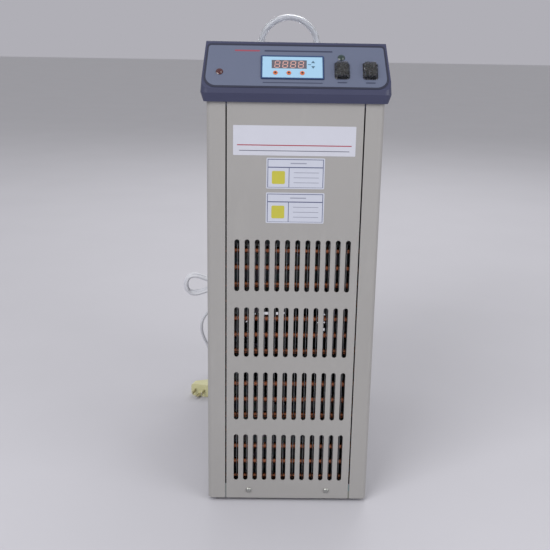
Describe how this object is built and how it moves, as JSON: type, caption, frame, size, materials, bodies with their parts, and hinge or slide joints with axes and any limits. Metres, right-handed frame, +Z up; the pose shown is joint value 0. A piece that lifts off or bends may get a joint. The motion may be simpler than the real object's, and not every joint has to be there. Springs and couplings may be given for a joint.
{
  "type": "recirculating chiller",
  "caption": "Floor-standing recirculating chiller with a slotted front, slanted control head, looped deck hose, inner tank, compressor, fan and pump.",
  "frame": {"origin": "on the floor, under the middle of the chiller's box, its mains lead left out", "axes": "+Z up, the control panel and grille face -Y, +X to the right as seen from the front"},
  "size_m": [0.3265, 0.523, 0.7159],
  "materials": {
    "cabinet_paint": "warm pale grey powder coat, fine orange peel",
    "grille_paint": "warm pale grey powder coat, fine orange peel",
    "tray_zinc": "plain zinc-plated sheet",
    "stainless": "plain stainless sheet",
    "zinc_screw": "bright zinc plate",
    "head_plastic": "dark slate blue moulding, fine texture",
    "fascia_film": "slate grey-blue printed film, dark navy border",
    "controller_plastic": "dark blue moulding",
    "display_film": "pale printed display face",
    "digit_lens": "dark red-brown display lens with plain digits",
    "button_orange": "orange dome, dark centre",
    "red_lens": "dark red lamp lens",
    "green_lens": "dark green lamp lens",
    "switch_black": "black moulding",
    "clear_silicone": "clear soft silicone boot",
    "rubber_black": "black rubber",
    "foam_black": "closed-cell foam",
    "copper": "plain copper tube",
    "fin_aluminium": "plain aluminium fins",
    "black_paint": "black enamel",
    "fan_plastic": "black moulding",
    "pump_plastic": "dark grey moulding",
    "tube_silicone": "translucent white hose",
    "brass_fitting": "nickel-free turned brass",
    "white_cord": "white mains lead",
    "tie_white": "white cable tie",
    "plug_yellow": "pale yellow moulded plug"
  },
  "bodies": {
    "cabinet": {"feet": "rubber_black", "base_tray": "tray_zinc", "left_side_panel": "cabinet_paint", "right_side_panel": "cabinet_paint", "front_grille": "grille_paint", "panel_screws": "zinc_screw", "rear_panel": "cabinet_paint", "head_cover": "head_plastic", "fascia": "fascia_film", "controller_case": "controller_plastic", "display_window": "display_film", "digit_display": "digit_lens", "power_lamp": "red_lens", "cooling_lamp": "green_lens", "pump_switch_body": "switch_black", "pump_switch_boot": "clear_silicone", "cooling_switch_body": "switch_black", "cooling_switch_boot": "clear_silicone", "tank_shelf": "tray_zinc", "tank": "stainless", "tank_insulation": "foam_black", "tank_cover": "stainless", "evaporator_coil": "copper", "hose_nipples": "brass_fitting", "hose_loop": "tube_silicone", "condenser_fins": "fin_aluminium", "condenser_tubes": "copper", "condenser_end_plates": "tray_zinc", "fan_shroud": "tray_zinc", "fan_motor": "black_paint", "compressor_shell": "black_paint", "compressor_mounts": "rubber_black", "terminal_cover": "fan_plastic", "discharge_line": "copper", "liquid_line": "copper", "filter_drier": "copper", "capillary_line": "copper", "suction_line": "copper", "pump_body": "pump_plastic", "pump_motor": "black_paint", "pump_bracket": "tray_zinc", "pump_inlet_hose": "tube_silicone", "nipple_hoses": "tube_silicone", "drain_hose": "tube_silicone", "drain_valve": "brass_fitting", "cable_gland": "rubber_black", "power_cord_lead": "white_cord", "cord_hank": "white_cord", "cord_tie": "tie_white", "power_cord_tail": "white_cord", "power_plug": "plug_yellow"},
    "pump_rocker": {"pump_switch_rocker": "switch_black"},
    "cooling_rocker": {"cooling_switch_rocker": "switch_black"},
    "set_key": {"set_button": "button_orange"},
    "down_key": {"down_button": "button_orange"},
    "up_key": {"up_button": "button_orange"},
    "lid": {"reservoir_lid": "head_plastic"},
    "fan": {"fan_blades": "fan_plastic"},
    "impeller": {"pump_impeller": "pump_plastic"},
    "lever": {"drain_lever": "zinc_screw"}
  },
  "joints": [
    {"name": "pump_rocker_tilt", "type": "hinge", "parent": "cabinet", "child": "pump_rocker", "pos_m": [0.0612, -0.22456, 0.64217], "axis": [-1, 0, 0], "range_deg": [0, 20]},
    {"name": "cooling_rocker_tilt", "type": "hinge", "parent": "cabinet", "child": "cooling_rocker", "pos_m": [0.0991, -0.22456, 0.64217], "axis": [-1, 0, 0], "range_deg": [0, 20]},
    {"name": "set_press", "type": "slide", "parent": "cabinet", "child": "set_key", "axis": [0, 0.7771, -0.6293], "range_m": [0, 0.0007], "stiffness_N_per_m": 300, "springref_m": -0.0003},
    {"name": "down_press", "type": "slide", "parent": "cabinet", "child": "down_key", "axis": [0, 0.7771, -0.6293], "range_m": [0, 0.0007], "stiffness_N_per_m": 300, "springref_m": -0.0003},
    {"name": "up_press", "type": "slide", "parent": "cabinet", "child": "up_key", "axis": [0, 0.7771, -0.6293], "range_m": [0, 0.0007], "stiffness_N_per_m": 300, "springref_m": -0.0003},
    {"name": "lid_lift", "type": "slide", "parent": "cabinet", "child": "lid", "axis": [0, 0, 1], "range_m": [0, 0.06]},
    {"name": "fan_spin", "type": "hinge", "parent": "cabinet", "child": "fan", "pos_m": [0, -0.166, 0.218], "axis": [0, 1, 0], "continuous": true},
    {"name": "impeller_spin", "type": "hinge", "parent": "cabinet", "child": "impeller", "pos_m": [0.05, 0.134, 0.326], "axis": [0, 1, 0], "continuous": true},
    {"name": "lever_turn", "type": "hinge", "parent": "cabinet", "child": "lever", "pos_m": [-0.06, 0.216, 0.392], "axis": [0, 0, 1], "range_deg": [0, 90]}
  ]
}
